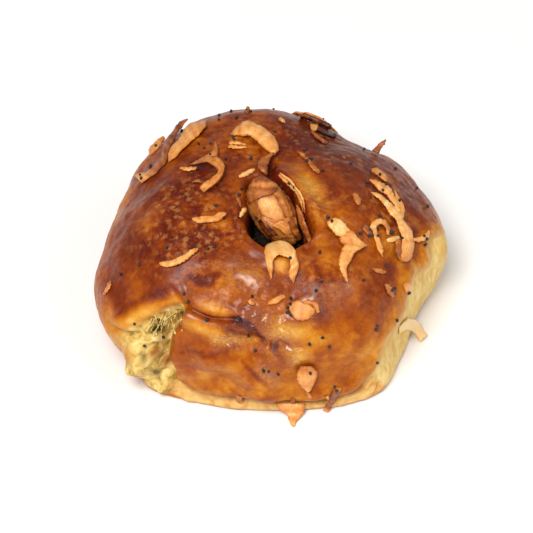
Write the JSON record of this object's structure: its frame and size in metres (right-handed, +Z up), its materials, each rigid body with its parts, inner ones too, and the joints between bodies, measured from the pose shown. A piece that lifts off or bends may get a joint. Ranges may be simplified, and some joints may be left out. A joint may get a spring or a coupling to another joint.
{
  "type": "onion roll",
  "caption": "Glazed, rounded bread roll with a hollow top, a front fold with a torn corner, a pale side, fried onion pieces and small dark seeds.",
  "frame": {"origin": "centre of the flat foot, on the surface that the roll stands on", "axes": "+Z up, +X to the right and +Y away from the viewer as the roll is seen from its front fold"},
  "size_m": [0.1041, 0.1039, 0.0521],
  "materials": {
    "crust": "egg-glazed baked crust, mottled golden brown to dark brown, pale yellow where it touched its neighbour",
    "onion_golden": "fried onion, golden orange with fine lengthwise veins",
    "onion_brown": "fried onion, well browned",
    "onion_pale": "fried onion or torn crumb, pale cream",
    "onion_burnt": "charred onion",
    "seed": "blue-black poppy seed"
  },
  "bodies": {
    "root": {"dough": "crust", "onion_arc_left": "onion_golden", "onion_arc_right": "onion_pale", "onion_arch": "onion_golden", "onion_behind_arc": "onion_golden", "onion_behind_hook": "onion_golden", "onion_behind_long": "onion_brown", "onion_bend_right": "onion_golden", "onion_burnt_top": "onion_burnt", "onion_crescent": "onion_golden", "onion_crest_broad": "onion_golden", "onion_crest_edge": "onion_golden", "onion_crest_long": "onion_brown", "onion_flat_left": "onion_golden", "onion_floor_flake": "onion_golden", "onion_foot_strip": "onion_burnt", "onion_fork": "onion_golden", "onion_fork_tip": "onion_golden", "onion_front_film": "onion_golden", "onion_front_flake": "onion_golden", "onion_heart": "onion_brown", "onion_hook_left": "onion_golden", "onion_hook_right": "onion_golden", "onion_pair_left": "onion_golden", "onion_rim_lower": "onion_brown", "onion_rim_upper": "onion_pale", "onion_sliver_top": "onion_brown", "onion_spike_top": "onion_brown", "onion_wall_strip": "onion_pale"}
  },
  "joints": []
}
